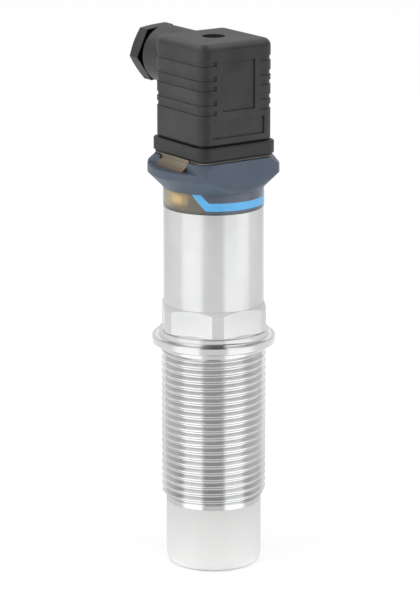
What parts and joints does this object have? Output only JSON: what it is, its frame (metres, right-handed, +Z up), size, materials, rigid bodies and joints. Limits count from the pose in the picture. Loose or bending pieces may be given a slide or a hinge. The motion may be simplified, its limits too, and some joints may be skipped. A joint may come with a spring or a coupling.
{
  "type": "capacitive level switch",
  "caption": "Rod-type capacitive level switch: white sensing tip, pipe-threaded steel body with collar and hexagon, light ring, flared cover, and a square plug with a cable gland.",
  "frame": {"origin": "centre of the flat end face of the sensing tip, on the axis of the thread (mount tip_rest)", "axes": "+Z up the axis of the rod to the top of the plug; -X the way the cable gland points; +X the side of the plug with the two recessed panels; -Y the side of the lamp window"},
  "size_m": [0.0533, 0.0402, 0.1706],
  "materials": {
    "tip_plastic": "satin",
    "seal_rubber": "smooth",
    "electrode_brass": "bare",
    "carrier_plastic": "moulded",
    "lead_jacket": "smooth",
    "turned_steel": "turned",
    "ground_steel": "ground",
    "smoked_plastic": "polished",
    "stripe_blue": "smooth",
    "cover_plastic": "satin moulded",
    "window_plastic": "polished",
    "base_plastic": "moulded",
    "tinned_brass": "tin plated",
    "insert_brass": "bare",
    "wire_jacket": "smooth",
    "board_laminate": "solder resist",
    "part_bodies": "moulded",
    "lamp_lens": "clear",
    "gasket_rubber": "smooth",
    "plug_plastic": "fine texture",
    "block_plastic": "moulded",
    "zinc_steel": "zinc plated"
  },
  "bodies": {
    "sensor": {"sensor_cap": "tip_plastic", "sensor_o_ring": "seal_rubber", "active_electrode": "electrode_brass", "electrode_carrier": "carrier_plastic", "guard_electrode": "electrode_brass", "probe_lead": "lead_jacket", "process_connection": "turned_steel", "housing_tube": "ground_steel", "light_ring": "smoked_plastic", "stripe_band": "stripe_blue", "ring_o_ring": "seal_rubber", "head_cover": "cover_plastic", "lamp_window": "window_plastic", "pin_base": "base_plastic", "contact_blades": "tinned_brass", "earth_blade": "tinned_brass", "thread_insert": "insert_brass", "connector_leads": "wire_jacket", "board_holder": "carrier_plastic", "main_board": "board_laminate", "board_parts": "part_bodies", "led_board": "board_laminate", "status_leds": "lamp_lens", "profile_gasket": "gasket_rubber"},
    "plug": {"plug_housing": "plug_plastic", "contact_block": "block_plastic", "socket_contacts": "tinned_brass", "terminal_screws": "zinc_steel", "gland_seal": "seal_rubber"},
    "screw_lift": {"screw_washer": "zinc_steel"},
    "clamp_screw": {"centre_screw": "zinc_steel"},
    "gland_thrust": {"gland_washer": "zinc_steel"},
    "pressure_nut": {"gland_nut": "plug_plastic"}
  },
  "joints": [
    {"name": "plug_pull", "type": "slide", "parent": "sensor", "child": "plug", "axis": [0, 0, 1], "range_m": [0, 0.012]},
    {"name": "screw_rise", "type": "slide", "parent": "plug", "child": "screw_lift", "axis": [0, 0, 1], "range_m": [0, 0.005]},
    {"name": "screw_turn", "type": "hinge", "parent": "screw_lift", "child": "clamp_screw", "pos_m": [0, 0, 0.1572], "axis": [0, 0, 1], "range_deg": [0, 3600]},
    {"name": "gland_slide", "type": "slide", "parent": "plug", "child": "gland_thrust", "axis": [-1, 0, 0], "range_m": [0, 0.00375]},
    {"name": "nut_turn", "type": "hinge", "parent": "gland_thrust", "child": "pressure_nut", "pos_m": [-0.02885, 0, 0.16135], "axis": [-1, 0, 0], "range_deg": [0, 900]}
  ],
  "couplings": [
    {"joint": "screw_turn", "follows": "screw_rise", "rad_per_m": 12566},
    {"joint": "nut_turn", "follows": "gland_slide", "rad_per_m": 4188.8}
  ]
}
